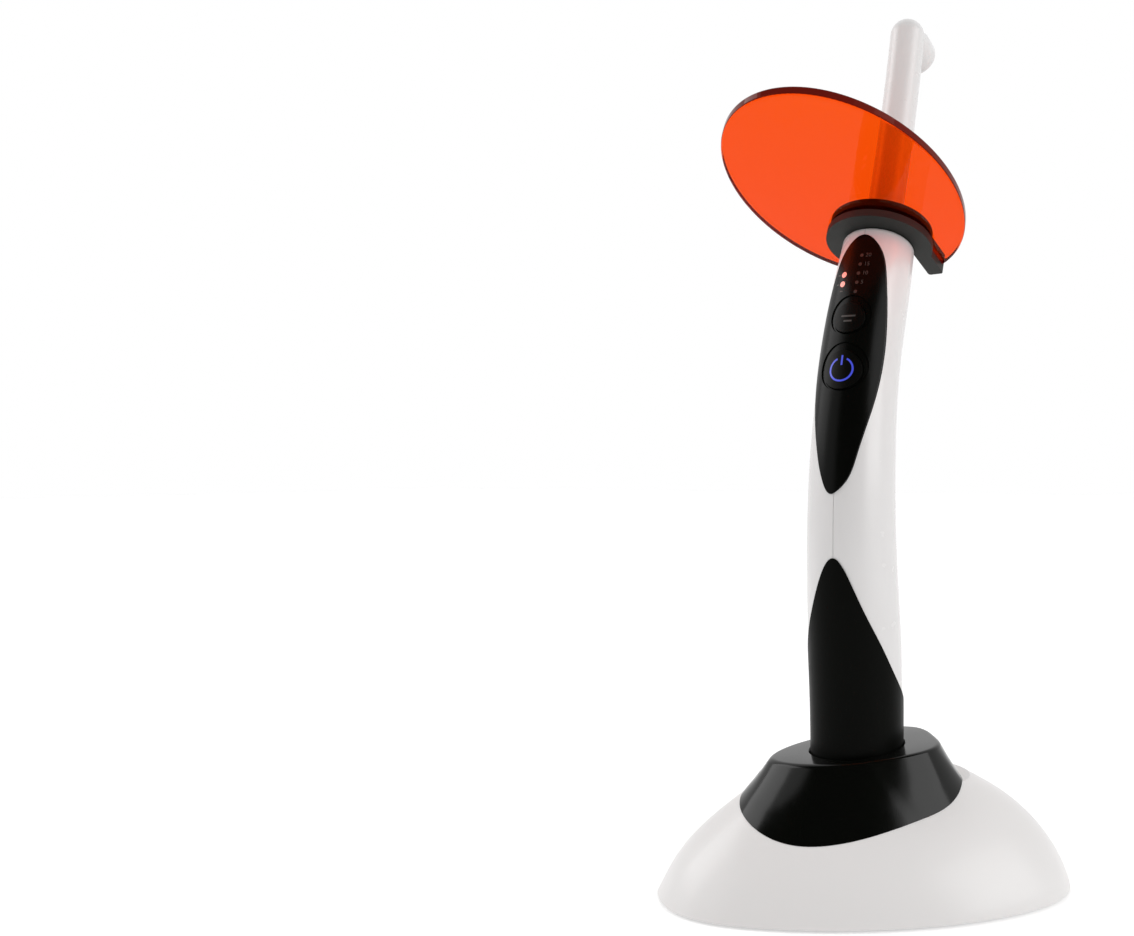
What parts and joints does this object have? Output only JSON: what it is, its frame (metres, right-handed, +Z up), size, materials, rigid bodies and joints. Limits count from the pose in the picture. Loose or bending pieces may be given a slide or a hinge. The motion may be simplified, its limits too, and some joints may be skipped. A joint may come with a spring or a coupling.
{
  "type": "dental curing light",
  "caption": "Pen-shaped cordless curing light with angled light tip, push buttons and a tilted orange light shield, standing in a domed charging base.",
  "frame": {"origin": "on the table, on the axis of the round charging well", "axes": "+Z up, -Y the side of the handset with the buttons, +Y the side that the light leaves from"},
  "size_m": [0.1053, 0.0933, 0.2542],
  "materials": {
    "base_shell": "gloss",
    "base_collar": "gloss",
    "base_plate": "matte",
    "base_feet": "matte",
    "base_screws": "bright zinc",
    "ballast_plate": "mill",
    "charging_board": "solder mask",
    "board_standoffs": "matte",
    "charging_parts": "matte",
    "pin_block": "matte",
    "dc_inlet": "matte",
    "dc_inlet_pin": "nickel plated",
    "charge_pin_centre": "gold plated",
    "charge_pin_ring": "gold plated",
    "body_shell_left": "gloss",
    "body_shell_right": "gloss",
    "lower_cover": "gloss",
    "tail_cap": "matte",
    "tail_terminals": "gold plated",
    "control_panel": "gloss",
    "mode_lamps": "clear light pipe",
    "time_lamps": "smoked light pipe",
    "control_board": "solder mask",
    "control_parts": "matte",
    "tact_switches": "matte",
    "battery_cell": "film wrap",
    "cell_sleeve": "matte",
    "cell_spring": "nickel plated",
    "contact_carrier": "matte",
    "cell_contact": "nickel plated",
    "neck_ferrule": "gloss",
    "neck_tube": "white anodised",
    "light_window": "clear lens",
    "led_reflector": "polished",
    "led_emitter": "emitter",
    "led_board": "bare",
    "heat_pipe": "bare copper",
    "led_wires": "insulated",
    "power_button": "gloss",
    "power_symbol": "lit light guide",
    "mode_button": "gloss",
    "shield_clip": "matte",
    "light_shield": "transparent orange acrylic"
  },
  "bodies": {
    "base": {"base_shell": "base_shell", "base_collar": "base_collar", "base_plate": "base_plate", "base_feet": "base_feet", "base_screws": "base_screws", "ballast_plate": "ballast_plate", "charging_board": "charging_board", "board_standoffs": "board_standoffs", "charging_parts": "charging_parts", "pin_block": "pin_block", "dc_inlet": "dc_inlet", "dc_inlet_pin": "dc_inlet_pin"},
    "pin_centre": {"charge_pin_centre": "charge_pin_centre"},
    "pin_ring": {"charge_pin_ring": "charge_pin_ring"},
    "handset": {"body_shell_left": "body_shell_left", "body_shell_right": "body_shell_right", "lower_cover": "lower_cover", "tail_cap": "tail_cap", "tail_terminals": "tail_terminals", "control_panel": "control_panel", "mode_lamps": "mode_lamps", "time_lamps": "time_lamps", "control_board": "control_board", "control_parts": "control_parts", "tact_switches": "tact_switches", "battery_cell": "battery_cell", "cell_sleeve": "cell_sleeve", "cell_spring": "cell_spring", "contact_carrier": "contact_carrier", "cell_contact": "cell_contact", "neck_ferrule": "neck_ferrule", "neck_tube": "neck_tube", "light_window": "light_window", "led_reflector": "led_reflector", "led_emitter": "led_emitter", "led_board": "led_board", "heat_pipe": "heat_pipe", "led_wires": "led_wires"},
    "power": {"power_button": "power_button", "power_symbol": "power_symbol"},
    "mode": {"mode_button": "mode_button"},
    "shield": {"shield_clip": "shield_clip", "light_shield": "light_shield"}
  },
  "joints": [
    {"name": "handset_lift", "type": "slide", "parent": "base", "child": "handset", "axis": [0, 0, 1], "range_m": [0, 0.05]},
    {"name": "power_button_press", "type": "slide", "parent": "handset", "child": "power", "axis": [0, 0.9501, -0.3119], "range_m": [0, 0.0004], "stiffness_N_per_m": 800, "springref_m": -0.0005},
    {"name": "mode_button_press", "type": "slide", "parent": "handset", "child": "mode", "axis": [0, 0.9501, -0.3119], "range_m": [0, 0.0004], "stiffness_N_per_m": 800, "springref_m": -0.0005},
    {"name": "shield_turn", "type": "hinge", "parent": "handset", "child": "shield", "pos_m": [0, 0.0161, 0.1796], "axis": [0, 0.3746, 0.9272], "continuous": true},
    {"name": "charge_pin_centre_press", "type": "slide", "parent": "base", "child": "pin_centre", "axis": [0, 0, -1], "range_m": [0, 0.0008], "stiffness_N_per_m": 600, "springref_m": -0.0005},
    {"name": "charge_pin_ring_press", "type": "slide", "parent": "base", "child": "pin_ring", "axis": [0, 0, -1], "range_m": [0, 0.0008], "stiffness_N_per_m": 600, "springref_m": -0.0005}
  ]
}
